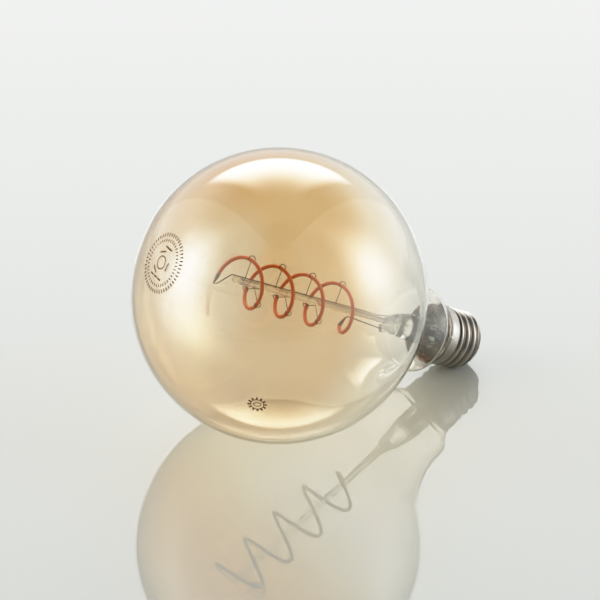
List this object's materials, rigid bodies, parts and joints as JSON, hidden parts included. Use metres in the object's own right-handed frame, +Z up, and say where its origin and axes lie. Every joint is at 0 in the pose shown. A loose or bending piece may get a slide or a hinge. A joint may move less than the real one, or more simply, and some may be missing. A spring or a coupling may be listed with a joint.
{
  "type": "smart light bulb",
  "caption": "Globe filament lamp with a clear amber envelope, coiled LED filament on a glass stem, a threaded metal base and a driver inside the base.",
  "frame": {"origin": "centre of the underside of the bounding box, on the surface that the bulb lies on", "axes": "+Z up; the bulb lies with its axis in the XZ plane, its screw base towards +X and dipping to the surface"},
  "size_m": [0.1654, 0.125, 0.125],
  "materials": {
    "amber_glass": "polished, clear at the neck and amber over the globe",
    "black_epoxy": "fine matt",
    "black_glass": "glossy",
    "board": "satin solder mask",
    "capacitor_sleeve": "shrunk sleeve",
    "cement": "dry",
    "clear_glass": "polished",
    "copper": "enamelled copper",
    "ferrite": "sintered",
    "hook_wire": "drawn",
    "lead_wire": "drawn",
    "nickel_plate": "bright nickel plate",
    "phosphor_silicone": "satin",
    "resistor_lacquer": "lacquered",
    "solder": "bright",
    "terminal_steel": "dull",
    "tin_plate": "satin",
    "white_plastic": "moulded"
  },
  "bodies": {
    "root": {"basing_cement": "cement", "bridge_rectifier": "black_epoxy", "cap_insulator": "black_glass", "centre_contact": "nickel_plate", "chip_resistors": "resistor_lacquer", "contact_solder": "solder", "contact_wire": "copper", "driver_board": "board", "driver_chip": "black_epoxy", "driver_sleeve": "white_plastic", "exhaust_tube": "clear_glass", "far_lead_wire": "lead_wire", "far_terminal": "terminal_steel", "fusible_resistor": "resistor_lacquer", "glass_rod": "clear_glass", "globe_envelope": "amber_glass", "inductor_core": "ferrite", "inductor_winding": "copper", "led_filament": "phosphor_silicone", "near_lead_wire": "lead_wire", "near_terminal": "terminal_steel", "outer_lead_far": "lead_wire", "outer_lead_near": "lead_wire", "pinch_seal": "clear_glass", "screw_shell": "nickel_plate", "shell_wire": "copper", "side_solder": "solder", "smoothing_capacitor": "capacitor_sleeve", "stem_flare": "clear_glass", "support_hook_01": "hook_wire", "support_hook_02": "hook_wire", "support_hook_03": "hook_wire", "support_hook_04": "hook_wire", "support_hook_05": "hook_wire", "support_hook_06": "hook_wire", "support_hook_07": "hook_wire", "support_hook_08": "hook_wire", "support_hook_09": "hook_wire", "support_hook_10": "hook_wire", "wireless_board": "board", "wireless_module": "tin_plate", "wireless_shield": "tin_plate"}
  },
  "joints": []
}
